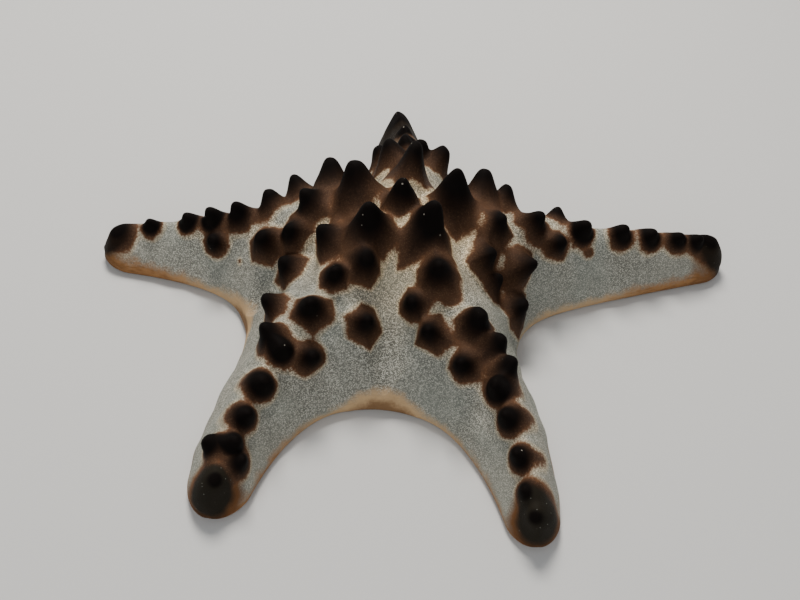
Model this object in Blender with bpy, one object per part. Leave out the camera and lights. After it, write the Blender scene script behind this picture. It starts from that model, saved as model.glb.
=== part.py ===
"""Horned sea star (Protoreaster nodosus), life size, lying flat on the floor.

The body is one continuous surface: five roof-shaped arms round a domed disc, described in
plan by each arm's own axis and in height by each arm's roof, smoothly joined in the valleys.
It is parted into a disc and five arms by thin cuts, and each horn is joined to its part.

Metres, +Z up. The underside lies at z = 0 and the origin is at the middle of the footprint.
"""
from math import cos, exp, hypot, pi, radians, sin, sqrt, tan

import bmesh
import bpy
from mathutils import Matrix, Vector

# ---- driving dimensions ------------------------------------------------------------------
DISC_CENTRE = Vector((-0.0069, 0.0040, 0.0))  # mouth axis, measured from the footprint's middle

# Each arm: heading in degrees, length along its axis, sideways sweep of its tip to its left,
# and the radius and the height of its tip.
ARMS = {
    "arm_right": (14.5, 0.146, -0.003, 0.0100, 0.0150),
    "arm_back": (88.5, 0.1105, 0.0105, 0.0085, 0.0165),
    "arm_left": (167.0, 0.129, 0.012, 0.0112, 0.0120),
    "arm_front_left": (231.5, 0.128, 0.0235, 0.0112, 0.0155),
    "arm_front_right": (303.5, 0.129, -0.020, 0.0095, 0.0155),
}
# Distance from the centre to the notch between each arm and the next one round.
NOTCHES = {
    "arm_right": 0.060,
    "arm_back": 0.060,
    "arm_left": 0.065,
    "arm_front_left": 0.060,
    "arm_front_right": 0.055,
}
BASE_HALF_WIDTH = 0.0212  # arm's half width where its taper starts
SWEEP_START = 0.058  # distance from the centre where the arms start to bend

DISC_HEIGHT = 0.056
ARM_HEIGHT = 0.045  # height of the arms' crest line, run back to the centre
DOME_REACH = 0.043  # how far the disc's dome spreads along the arms
DOME_POWER = 2.2  # higher for a flatter dome with a sharper shoulder
DOME_ROUNDING = 0.015  # how far the arms' crest lines are levelled where they meet
CROWN_DIP = 0.0080  # takes off the peak where all five roofs meet
CROWN_REACH = 0.015
RIM_HEIGHT = 0.006  # upper edge of the margin
RIM_BULGE = 0.0006
RIM_UNDERCUT = 0.0022  # how far the flat underside stays inside the margin
SIDE_SHARE = 0.45  # height of the margin's widest line, as a share of the rim's
POLE_SHARE = 0.6  # height of the arm's very tip, as a share of the rim's
BACK_SLOPE = 0.006  # how soon a roof ends behind the centre
CREST_POWER = 1.6  # 1 makes a straight roof, 2 a round one
VALLEY_BLEND = 0.012  # height difference over which two roofs flow together

GROOVE_HALF_WIDTH = 0.0035
GROOVE_DEPTH = 0.0030
MOUTH_RADIUS = 0.007
MOUTH_DEPTH = 0.005
ROOT_REACH = 0.060  # from the centre to the cut across each arm
ROOT_HALF_WIDTH = 0.034  # more than the arm's at the cut
SEAM = 0.0003  # thin cut between two parts
WELD = 0.00003  # points closer than this are one
LEAST_WIDTH = 0.00001  # keeps a roof's slope finite at the arm's very tip
SLOPE_STEP = 0.0002  # distance over which slopes are measured
REGION_REACH = 0.2  # how far a part's region runs past the body
REGION_SPREAD = 0.067  # half width of an arm's region at its far end

# Horns: a cone that flares into the skin, in shares of its base radius and of its height.
HORN_PROFILE = ((1.20, -0.14), (0.88, 0.36), (0.52, 0.77))
HORN_SIDES = 7
HORN_UPRIGHT = 0.25  # how much a horn turns from the skin's normal to the vertical
HORN_BASE = (0.0030, 0.34)  # base radius: a constant, and a share of the horn's height
CENTRE_HORN = 0.014
RING_HORN = 0.0175
ROW_HORN = (0.0135, 0.0050)  # height of a crest row's horns at the centre and at the tip

# One large horn of the ring round the centre stands on each arm: its distance from the centre
# and its distance to the arm's left.
RING_HORNS = {
    "arm_right": (0.021, 0.001),
    "arm_back": (0.023, -0.001),
    "arm_left": (0.020, -0.003),
    "arm_front_left": (0.019, 0.0),
    "arm_front_right": (0.017, 0.001),
}
# One knob stands at each arm's tip: the same two distances, its height and its base radius.
TIP_KNOBS = {
    "arm_right": (0.138, 0.0, 0.0030, 0.0070),
    "arm_back": (0.100, 0.0, 0.0042, 0.0085),
    "arm_left": (0.121, 0.0, 0.0030, 0.0070),
    "arm_front_left": (0.122, 0.001, 0.0030, 0.0055),
    "arm_front_right": (0.125, -0.001, 0.0030, 0.0055),
}
# The rest of each crest row: its distance to the left of the crest line, and the horns'
# distances from the centre.
CREST_ROWS = {
    "arm_right": (-0.002, (0.055, 0.077, 0.095, 0.1085, 0.1215, 0.131)),
    "arm_back": (0.001, (0.063,)),
    "arm_left": (0.001, (0.037, 0.068, 0.080)),
    "arm_front_left": (0.003, (0.087, 0.100, 0.110)),
    "arm_front_right": (-0.003, (0.080, 0.092, 0.106, 0.118)),
}
# Horns on the flanks, and crest horns lower than their row's rule: distance from the centre,
# distance to the arm's left, height.
FLANK_HORNS = {
    "arm_right": ((0.035, 0.009, 0.016), (0.046, 0.009, 0.011), (0.069, 0.006, 0.0068),
                  (0.037, -0.006, 0.011), (0.045, -0.017, 0.012), (0.064, -0.007, 0.0085)),
    "arm_back": ((0.039, 0.005, 0.014), (0.050, -0.011, 0.012), (0.052, -0.003, 0.010),
                 (0.048, 0.010, 0.010), (0.075, 0.001, 0.004), (0.086, 0.0, 0.0035)),
    "arm_left": ((0.032, -0.011, 0.017), (0.047, -0.012, 0.012), (0.041, 0.011, 0.010),
                 (0.052, 0.013, 0.010), (0.056, -0.003, 0.010), (0.077, 0.009, 0.0065),
                 (0.091, 0.001, 0.006), (0.107, 0.001, 0.0052)),
    "arm_front_left": ((0.026, -0.012, 0.012), (0.037, -0.023, 0.011), (0.057, -0.013, 0.009),
                       (0.070, -0.003, 0.0095), (0.029, 0.006, 0.010), (0.039, 0.001, 0.0078),
                       (0.042, 0.017, 0.0095), (0.054, 0.002, 0.0105), (0.065, 0.010, 0.0085),
                       (0.072, 0.003, 0.0065), (0.114, 0.006, 0.006), (0.112, -0.003, 0.006)),
    "arm_front_right": ((0.025, 0.020, 0.014), (0.033, 0.021, 0.0092), (0.040, 0.029, 0.012),
                        (0.033, -0.003, 0.012), (0.035, -0.014, 0.0075), (0.048, -0.014, 0.009),
                        (0.055, 0.0, 0.0095), (0.065, 0.002, 0.008), (0.064, -0.009, 0.0085),
                        (0.074, 0.002, 0.0075)),
}

COLUMNS = 10  # across an arm
STATIONS = 9  # along an arm, before its rounded tip
TIP_STATIONS = 3
DISC_RINGS = 5

SKIN_COLOUR = (0.36, 0.31, 0.24)
SKIN_ROUGHNESS = 0.65

ARM_NAMES = tuple(ARMS)
UP = Vector((0.0, 0.0, 1.0))


# ---- plan ----------------------------------------------------------------------------------
def heading(arm):
    """The arm's direction in plan, in radians from +X."""
    return radians(ARMS[arm][0])


def axes(arm):
    """The arm's outward direction and its left, in plan."""
    turn = heading(arm)
    return Vector((cos(turn), sin(turn), 0.0)), Vector((-sin(turn), cos(turn), 0.0))


def tip_radius(arm):
    return ARMS[arm][3]


def tip_start(arm):
    """Where the arm's rounded tip begins."""
    return ARMS[arm][1] - tip_radius(arm)


def notch(arm, side):
    """Half the angle to the neighbour on that side (1 left, -1 right), and the notch distance."""
    index = ARM_NAMES.index(arm)
    neighbour = ARM_NAMES[(index + side) % len(ARM_NAMES)]
    half_angle = ((heading(neighbour) - heading(arm)) * side % (2 * pi)) / 2
    return half_angle, NOTCHES[arm if side > 0 else neighbour]


def notch_point(arm, side):
    """The notch beside an arm: how far along its axis, and how far from it."""
    half_angle, distance = notch(arm, side)
    return distance * cos(half_angle), distance * sin(half_angle)


def half_width(arm, side, along):
    """From the axis to the margin: a straight taper with a round fillet into the notch."""
    half_angle = notch(arm, side)[0]
    start, widest = notch_point(arm, side)
    taper = (BASE_HALF_WIDTH - tip_radius(arm)) / (tip_start(arm) - start)
    fillet = (widest - BASE_HALF_WIDTH) / (1 / tan(half_angle) - taper)
    run = max(along - start, 0.0)
    width = BASE_HALF_WIDTH - taper * run + (widest - BASE_HALF_WIDTH) * exp(-run / fillet)
    return width * tip_share(arm, along)


def tip_share(arm, along):
    """1 along the arm, falling on a quarter circle to 0 at its very tip."""
    over = (along - tip_start(arm)) / tip_radius(arm)
    return sqrt(1 - min(max(over, 0.0), 1.0) ** 2)


def plan_point(arm, along, across):
    """A point in plan, from its distances along the arm's swept axis and to its left."""
    outward, left = axes(arm)
    length, sweep = ARMS[arm][1:3]
    share = max(along - SWEEP_START, 0.0) / (length - SWEEP_START)
    slope = 2 * sweep * share / (length - SWEEP_START)
    square = Vector((-slope, 1.0)).normalized()
    return outward * (along + square.x * across) + left * (sweep * share**2 + square.y * across)


# ---- height --------------------------------------------------------------------------------
def crest(arm, along):
    """Height of the arm's crest line."""
    soft = hypot(along, DOME_ROUNDING) - DOME_ROUNDING
    share = min(soft / tip_start(arm), 1.0)
    dome = (DISC_HEIGHT - ARM_HEIGHT) * exp(-((abs(along) / DOME_REACH) ** DOME_POWER))
    tip_height = ARMS[arm][4]
    return tip_height + (ARM_HEIGHT - tip_height) * (1 - share) + dome


def roof(arm, along, across):
    """Height of one arm's roof, taken alone and run on past its margin."""
    width = max(half_width(arm, 1 if across >= 0 else -1, along), LEAST_WIDTH)
    rise = (crest(arm, along) - RIM_HEIGHT) * tip_share(arm, along)
    behind = min(along, 0.0) ** 2 / BACK_SLOPE
    return RIM_HEIGHT + rise * (1 - (abs(across) / width) ** CREST_POWER) - behind


def flow_together(first, second):
    """The higher of two heights, rounded where they are nearly equal."""
    share = max(VALLEY_BLEND - abs(first - second), 0.0) / VALLEY_BLEND
    return max(first, second) + share * share * VALLEY_BLEND / 4


def height(arm, along, across):
    """Height of the upper surface at a point given on one arm's axes."""
    point = plan_point(arm, along, across)
    roofs = [roof(arm, along, across)]
    for other in ARM_NAMES:
        outward, left = axes(other)
        if other != arm:
            roofs.append(roof(other, point.dot(outward), point.dot(left)))
    roofs.sort(reverse=True)
    top = roofs[0]
    for lower in roofs[1:]:
        top = flow_together(top, lower)
    return top - CROWN_DIP * exp(-((point.length / CROWN_REACH) ** 2))


def surface(arm, along, across):
    """A point of the upper surface."""
    return plan_point(arm, along, across) + UP * height(arm, along, across)


def normal(arm, along, across):
    """The upper surface's outward direction."""
    step = SLOPE_STEP
    outward = surface(arm, along + step, across) - surface(arm, along - step, across)
    leftward = surface(arm, along, across + step) - surface(arm, along, across - step)
    return outward.cross(leftward).normalized()


# ---- whole body ----------------------------------------------------------------------------
def columns():
    """Shares of the half width across an arm, from its right margin (-1) to its left (1)."""
    return [2 * column / COLUMNS - 1 for column in range(COLUMNS + 1)]


def cut_point(arm, share):
    """A point on the line between an arm's two notches, where it leaves the disc."""
    left, right = notch_point(arm, 1), notch_point(arm, -1)
    middle = (left[0] + right[0]) / 2
    end, width = left if share >= 0 else right
    return middle + (end - middle) * abs(share), width * share


def margin(arm, side, along, out=0.0):
    """A point of the body's outline, or of one drawn outside it."""
    step = SLOPE_STEP
    ahead = plan_point(arm, along + step, side * half_width(arm, side, along + step))
    here = plan_point(arm, along, side * half_width(arm, side, along))
    course = (ahead - here).normalized()
    return here + Vector((-course.y, course.x, 0.0)) * out * side


def under_point(share, edge, axis_point, lift):
    """A point of the underside, at a share of the way from the arm's axis to its edge."""
    step = 2 / COLUMNS
    in_groove = abs(share) < step / 2
    reach = (edge - axis_point).length
    groove = min(GROOVE_HALF_WIDTH, reach / 2)
    point = axis_point.copy()
    if not in_groove and reach > 0:
        outer = (abs(share) - step) / (1 - step)
        point = axis_point.lerp(edge, (groove + (reach - groove) * outer) / reach)
    groove_roof = GROOVE_DEPTH * groove / GROOVE_HALF_WIDTH if in_groove else 0.0
    mouth_roof = max(1 - (point.length / MOUTH_RADIUS) ** 2, 0.0) * MOUTH_DEPTH
    return point + UP * max(groove_roof + lift, mouth_roof)


def under_row(right_edge, left_edge, axis_point, lift):
    """A row of the underside: a flat on each side of the arm's groove, and the mouth's hollow."""
    edges = [left_edge if share > 0 else right_edge for share in columns()]
    return [under_point(share, edge, axis_point, lift) for share, edge in zip(columns(), edges)]


def disc_station(arm, share_out):
    """The top and bottom rows of the disc's fan for one arm, at a share of the way out."""
    top = []
    for share in columns():
        along, across = cut_point(arm, share)
        top.append(surface(arm, along * share_out, across * share_out))
    ends = [plan_point(arm, *(size * share_out for size in cut_point(arm, end)))
            for end in (-1.0, 1.0, 0.0)]
    return top, under_row(*ends, 0.0)


def arm_station(arm, share_out, tip_turn=0.0):
    """An arm's top row, its two side points and its bottom row, at a share of the way out."""
    shrink = cos(tip_turn)
    lift = RIM_HEIGHT / 2 * (1 - shrink)

    def reach(share):
        start = cut_point(arm, share)[0]
        return start + (tip_start(arm) - start) * share_out + tip_radius(arm) * sin(tip_turn)

    top = []
    for share in columns():
        width = half_width(arm, 1 if share >= 0 else -1, reach(share))
        top.append(surface(arm, reach(share), share * width))
    feet, sides = [], []
    for side in (-1, 1):
        feet.append(margin(arm, side, reach(side), -RIM_UNDERCUT * shrink))
        edge = margin(arm, side, reach(side), RIM_BULGE * shrink)
        sides.append(edge + UP * (RIM_HEIGHT * SIDE_SHARE * shrink + lift))
    under = under_row(*feet, plan_point(arm, reach(0.0), 0.0), lift)
    return top, sides, under


def bridge(body, first, second, flip=False):
    """Faces between two rows of vertices."""
    for index in range(len(first) - 1):
        face = [first[index], second[index], second[index + 1], first[index + 1]]
        body.faces.new(reversed(face) if flip else face)


def arm_stations():
    """Each station along an arm: its share of the way to the tip, and its turn round the tip."""
    straight = [(station / STATIONS, 0.0) for station in range(STATIONS + 1)]
    turn = pi / 2 / (TIP_STATIONS + 1)
    return straight + [(1.0, turn * station) for station in range(1, TIP_STATIONS + 1)]


def close_tip(body, arm, top, sides, under):
    """Fan the last station's loop to one point at the arm's very tip."""
    pole = body.verts.new(plan_point(arm, ARMS[arm][1], 0.0) + UP * RIM_HEIGHT * POLE_SHARE)
    loop = top + [sides[1]] + under[::-1] + [sides[0]]
    for index, vertex in enumerate(loop):
        body.faces.new((vertex, pole, loop[(index + 1) % len(loop)]))


def add_sector(body, arm):
    """One arm and its fifth of the disc, above, below and round the margin."""
    tops, unders, rims = [], [], []
    for ring in range(DISC_RINGS):
        rows = disc_station(arm, ring / DISC_RINGS)
        top, under = [[body.verts.new(point) for point in row] for row in rows]
        tops.append(top)
        unders.append(under)
    for share_out, turn in arm_stations():
        rows = arm_station(arm, share_out, turn)
        top, sides, under = [[body.verts.new(point) for point in row] for row in rows]
        tops.append(top)
        unders.append(under)
        rims.append((top, sides, under))
    for near, far in zip(tops, tops[1:]):
        bridge(body, near, far)
    for near, far in zip(unders, unders[1:]):
        bridge(body, near, far, flip=True)
    for near, far in zip(rims, rims[1:]):
        bridge(body, [row[0] for row in near], [row[0] for row in far], flip=True)
        bridge(body, [row[-1] for row in near], [row[-1] for row in far])
    close_tip(body, arm, *rims[-1])


def whole_body():
    """The body without its horns: one closed surface, from the centre out to each arm's tip."""
    body = bmesh.new()
    for arm in ARM_NAMES:
        add_sector(body, arm)
    bmesh.ops.remove_doubles(body, verts=body.verts, dist=WELD)
    return body


# ---- horns ---------------------------------------------------------------------------------
def horn_mesh(foot, axis, tall, radius):
    """A horn of round section that stands on the skin at foot and points along axis."""
    horn = bmesh.new()
    place = Matrix.Translation(foot) @ UP.rotation_difference(axis).to_matrix().to_4x4()
    rings = []
    for wide, high in HORN_PROFILE:
        ring = []
        for side in range(HORN_SIDES):
            angle = 2 * pi * side / HORN_SIDES
            point = Vector((cos(angle) * radius * wide, sin(angle) * radius * wide, tall * high))
            ring.append(horn.verts.new(place @ point))
        rings.append(ring + [ring[0]])
    for low, high in zip(rings, rings[1:]):
        bridge(horn, high, low)
    tip = horn.verts.new(place @ Vector((0.0, 0.0, tall)))
    for side in range(HORN_SIDES):
        horn.faces.new((rings[-1][side], rings[-1][side + 1], tip))
    horn.faces.new(rings[0][:HORN_SIDES][::-1])
    return horn


def base_radius(tall):
    """The base radius of a horn of that height."""
    return HORN_BASE[0] + HORN_BASE[1] * tall


def horn_sites():
    """Every horn: its place on an arm's axes, its height and its base radius."""
    yield ARM_NAMES[0], 0.0, 0.0, CENTRE_HORN, base_radius(CENTRE_HORN)
    for arm in ARM_NAMES:
        yield arm, *RING_HORNS[arm], RING_HORN, base_radius(RING_HORN)
        across, distances = CREST_ROWS[arm]
        for along in distances:
            tall = ROW_HORN[0] + (ROW_HORN[1] - ROW_HORN[0]) * along / ARMS[arm][1]
            yield arm, along, across, tall, base_radius(tall)
        for along, across, tall in FLANK_HORNS[arm]:
            yield arm, along, across, tall, base_radius(tall)
        yield arm, *TIP_KNOBS[arm]


def horns():
    """Every horn's mesh, leaning from the skin's normal towards the vertical."""
    for arm, along, across, tall, radius in horn_sites():
        axis = normal(arm, along, across) * (1 - HORN_UPRIGHT) + UP * HORN_UPRIGHT
        yield horn_mesh(surface(arm, along, across), axis.normalized(), tall, radius)


# ---- parting -------------------------------------------------------------------------------
def arm_corners(arm, along, half_breadth):
    """Two points in plan, to the right and the left of an arm's axis."""
    outward, left = axes(arm)
    return [outward * along + left * side * half_breadth for side in (-1, 1)]


def disc_outline():
    """The disc's plan: a straight line across the root of each arm, less half a seam."""
    outline = []
    for arm in ARM_NAMES:
        outline += arm_corners(arm, ROOT_REACH - SEAM / 2, ROOT_HALF_WIDTH)
    return outline


def arm_outline(arm):
    """An arm's plan: all that lies beyond its root, more half a seam."""
    near = arm_corners(arm, ROOT_REACH + SEAM / 2, ROOT_HALF_WIDTH)
    far = arm_corners(arm, REGION_REACH, REGION_SPREAD)
    return near + far[::-1]


def region(outline):
    """A tall prism on an outline, to be intersected with the whole animal."""
    prism = bmesh.new()
    base = [prism.verts.new(point - UP * REGION_REACH) for point in outline]
    face = prism.faces.new(base)
    walls = bmesh.ops.extrude_face_region(prism, geom=[face])["geom"]
    raised = [item for item in walls if isinstance(item, bmesh.types.BMVert)]
    bmesh.ops.translate(prism, verts=raised, vec=UP * REGION_REACH * 2)
    return prism


# ---- assembly ------------------------------------------------------------------------------
def material(name):
    """A plain skin for one part."""
    skin = bpy.data.materials.new(name)
    skin.use_nodes = True
    shader = skin.node_tree.nodes["Principled BSDF"]
    shader.inputs["Base Color"].default_value = (*SKIN_COLOUR, 1.0)
    shader.inputs["Roughness"].default_value = SKIN_ROUGHNESS
    shader.inputs["Metallic"].default_value = 0.0
    return skin


def add_object(name, body):
    """Turn a bmesh, centred on the disc, into a placed object with its own material."""
    bmesh.ops.translate(body, verts=body.verts, vec=DISC_CENTRE)
    bmesh.ops.recalc_face_normals(body, faces=body.faces)
    mesh = bpy.data.meshes.new(name)
    body.to_mesh(mesh)
    body.free()
    mesh.materials.append(material(name))
    mesh.shade_smooth()
    placed = bpy.data.objects.new(name, mesh)
    bpy.context.scene.collection.objects.link(placed)
    return placed


def combine(target, other, operation):
    """Join another object to the target, or keep only what they share."""
    boolean = target.modifiers.new(other.name, "BOOLEAN")
    boolean.operation = operation
    boolean.solver = "EXACT"
    boolean.object = other
    other.hide_render = True
    other.display_type = "WIRE"


def main():
    """Build the whole animal and part it into its disc and arms."""
    for old in list(bpy.data.objects):
        bpy.data.objects.remove(old, do_unlink=True)
    animal = add_object("whole_animal", whole_body())
    for index, horn in enumerate(horns()):
        combine(animal, add_object(f"horn_{index}", horn), "UNION")
    combine(add_object("disc", region(disc_outline())), animal, "INTERSECT")
    for arm in ARM_NAMES:
        combine(add_object(arm, region(arm_outline(arm))), animal, "INTERSECT")


main()
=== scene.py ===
"""Horned sea star (Protoreaster nodosus): its skin, horns, underside, floor, light and camera.

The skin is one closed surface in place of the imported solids. It follows the same plan and
roofs as they do, much finer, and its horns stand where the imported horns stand.
"""
import random
from collections import namedtuple
from math import cos, hypot, pi, radians, sin, tan

import bmesh
import bpy
import numpy as np
from mathutils import Matrix, Vector, noise


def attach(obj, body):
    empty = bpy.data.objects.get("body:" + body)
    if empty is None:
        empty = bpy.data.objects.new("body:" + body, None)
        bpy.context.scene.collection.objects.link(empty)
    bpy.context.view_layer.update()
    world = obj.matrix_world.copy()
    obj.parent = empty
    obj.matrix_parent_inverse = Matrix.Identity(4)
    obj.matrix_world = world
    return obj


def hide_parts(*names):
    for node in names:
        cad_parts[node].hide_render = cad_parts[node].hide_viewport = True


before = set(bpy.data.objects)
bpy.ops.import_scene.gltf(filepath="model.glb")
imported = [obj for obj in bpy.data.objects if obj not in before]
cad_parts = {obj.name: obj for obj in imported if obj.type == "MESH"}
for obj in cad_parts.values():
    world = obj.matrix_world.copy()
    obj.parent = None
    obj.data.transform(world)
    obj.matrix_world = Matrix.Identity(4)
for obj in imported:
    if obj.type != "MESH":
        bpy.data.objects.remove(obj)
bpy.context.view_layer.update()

MM = 0.001

# ---- the body's plan and roofs, in metres -------------------------------------------------------
DISC_CENTRE = np.array((-0.0069, 0.0040, 0.0))
# Each arm: heading in degrees, length, sweep of its tip to its left, radius and height of its
# tip, and the distance from the centre to the notch between it and the next arm round.
Plan = namedtuple("Plan", "heading length sweep tip_radius tip_height notch")
ARMS = {
    "arm_right": Plan(14.5, 0.146, -0.003, 0.0100, 0.0150, 0.060),
    "arm_back": Plan(88.5, 0.1105, 0.0105, 0.0085, 0.0165, 0.060),
    "arm_left": Plan(167.0, 0.129, 0.012, 0.0112, 0.0120, 0.065),
    "arm_front_left": Plan(231.5, 0.128, 0.0235, 0.0112, 0.0155, 0.060),
    "arm_front_right": Plan(303.5, 0.129, -0.020, 0.0095, 0.0155, 0.055),
}
# One side of an arm: where its taper starts, how wide it is there, its taper and its fillet.
Side = namedtuple("Side", "start widest taper fillet")
ARM_NAMES = tuple(ARMS)
BASE_HALF_WIDTH = 0.0212  # of an arm where its straight taper starts
SWEEP_START = 0.058  # along an arm, where its sweep begins
DISC_HEIGHT = 0.056  # of the dome in the middle, without its dip
ARM_HEIGHT = 0.045  # of the crest lines there, without the dome
DOME_REACH, DOME_POWER = 0.043, 2.2
DOME_ROUNDING = 0.015  # of the crest lines where they meet in the middle
CROWN_DIP, CROWN_REACH = 0.0080, 0.015  # of the hollow within the ring of tall horns
RIM_HEIGHT = 0.006  # of the roofs' lower edge
BACK_SLOPE = 0.006  # a smaller one makes a roof fall off faster behind the middle
CREST_POWER = 1.6  # of the roofs' section: 1 for straight sides, 2 for round ones
VALLEY_BLEND = 0.012  # difference in height within which two roofs flow together
LEAST_WIDTH = 0.00001  # keeps a division at an arm's very tip from being by zero
SLOPE_STEP = 0.0002  # between two points that give the outline's direction
WELD = 0.00001  # vertices nearer than this are one

# The margin's section: distance out from the edge of the roof, and height.
MARGIN_UPPER = ((0.0, 0.006), (0.00045, 0.0048), (0.0006, 0.0036), (0.0006, 0.0027))
MARGIN_LOWER = ((0.0006, 0.0027), (0.0006, 0.0012), (-0.0007, 0.0), (-0.0022, 0.0))
POLE_HEIGHT = 0.0036

# ---- fineness -----------------------------------------------------------------------------------
TOP_COLUMNS = 140  # across an arm
MARGIN_STEPS = 8  # in each half of the margin's section
UNDER_COLUMNS = 60
UNDER_CROWD = 0.6  # how much the underside's columns crowd towards the groove
DISC_RINGS = 90
STATIONS = 190  # along an arm, before its rounded tip
TIP_STATIONS = 24

# ---- the underside ------------------------------------------------------------------------------
GROOVE_HALF_WIDTH = 0.0035
GROOVE_DEPTH = 0.0030
FOOT_PITCH = 0.0022  # from one tube foot, or one groove spine, to the next
# Rows beside the groove's middle: distance from it, half width, and height of their relief.
TUBE_FEET = (0.0014, 0.0008, 0.0018)
GROOVE_SPINES = (0.0044, 0.0010, 0.0006)
PLATE_SIZE = 0.0024
PLATE_SEAM = 0.00035  # depth of the seams between the underside's plates
SEAM_WIDTH = 0.22
MOUTH_RADIUS = 0.007
MOUTH_DEPTH = 0.005
EDGE_FALL = 8  # power of the relief's fall to nothing at the margin
END_FALL = 3  # power of its fall towards an arm's tip

# ---- horns --------------------------------------------------------------------------------------
TOP_RING = (0.52, 0.23)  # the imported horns' last ring: its radius, and its depth below the tip
LEAST_RING = 3  # vertices of that ring that must be left to know a horn by
SURE_RING = 5  # with fewer left, the horn's base must suit its height
LEAST_DEPTH = 0.0005  # of that ring below the tip
HORN_BASE = (0.0030, 0.34)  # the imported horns' base radius: at no height, and its growth
BASE_MATCH = 0.0001  # how near to it a base is that suits its height
HORN_WAIST = (0.60, 0.73)  # where a horn is half as tall as at its tip, in base radii
HORN_POWER = (2.3, 3.8)  # higher for a blunter tip
HORN_SKEW = (0.05, 0.30)  # how much steeper its outer side is
HORN_OVAL = (0.0, 0.10)  # how much its section departs from round
DARK_REACH = (0.56, 0.74)  # how far the black goes down an upright horn, in base radii
DARK_GAIN = 0.38  # how much further it goes out on the arms
DARK_LEAN = 1.5  # power of its loss on a leaning horn
KNOB_WAIST, KNOB_POWER = 0.80, 4.2  # of the blunt knobs at the arms' ends
KNOB_DARK = 0.7  # how far the black goes down a knob, of what it does on a horn
HORN_FOOT = 1.75  # where a horn ends, in base radii
HORN_DEPTH = 1.2  # how far below its foot a horn's reach starts to narrow, in base radii
BLEND_POWER = 4  # how sharply neighbouring horns part
LEAST_UPRIGHT = -0.2  # of the skin's normal, where horns may stand
TINY = 1e-30  # keeps a division where no horn stands from being by zero
NUDGE = 1e-6  # gives a horn in the very middle a way out
SEED = 7  # of the draws that make horns and halos differ

HALO_CORNERS = (5, 7)
CORNER_TURN = 0.25  # how far a corner may turn, of the angle between two
HALO_RADIUS = (1.15, 1.62)  # of its corners, in the horn's base radii
HALO_MERGE = 0.0012  # how round the corner is where two halos meet
NO_HALO = 0.02  # distance from a halo that's given to the underside
ROUND_FROM, ROUND_TO = 0.050, 0.080  # from the centre: where angular halos turn round
ROUNDNESS = 0.8  # of the halos out on the arms
HALO_LOSS = 0.14  # how much narrower they are there

# Each arm's end: how far its cap's middle is from the very tip, the cap's radius, how olive it
# is, and how high the orange rim reaches there.
ENDS = {
    "arm_right": (0.0040, 0.0110, 0.45, 0.0075),
    "arm_back": (0.0060, 0.0250, 0.40, 0.0030),
    "arm_left": (0.0050, 0.0080, 0.05, 0.0080),
    "arm_front_left": (0.0040, 0.0084, 1.00, 0.0045),
    "arm_front_right": (0.0045, 0.0090, 1.00, 0.0035),
}
CAP_FALL = 0.5  # how much a drop below the cap's middle counts as distance from it
FAR_CAP = 9.0  # the most that the distance from a cap's middle is given as
UNDER_CAP = 0.8  # how much of its radius a cap loses on the underside
RIM_LEAST = 0.0029  # height of the orange rim along the sides
RIM_WIDENS = 2.2  # power of its rise towards the end
# The notches with a wider rim: the arm before each, and how much higher the orange reaches.
NOTCH_RIMS = {"arm_front_left": 0.0075, "arm_left": 0.0080}
NOTCH_SPREAD = 0.013  # how far from the notch this reaches
MOUND = 0.28  # height of the mound under a horn, in horn heights
MOUND_REACH = 1.35  # in halo radii
MOUND_LOSS = 0.65  # how much of it is lost out on the arms

SWELL_SIZE = 0.011  # of the soft unevenness of the upper side
SWELL_HEIGHT = 0.0012
SWELL_OFFSET = Vector((3.1, 7.13, -3.1))  # where in the noise it is taken from
SWELL_EDGE = 4  # how fast it fades out where the skin turns down
PLATES_BELOW = -0.9  # of the skin's normal, where the underside has its plates

# Brown blots without a horn: the arm, the distances along it and to its left, and the radius.
BLOTS = (
    ("arm_right", 0.080, -0.0078, 0.0020),
    ("arm_front_right", 0.041, -0.0025, 0.0042),
    ("arm_left", 0.0645, 0.0155, 0.0009),
)


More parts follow.
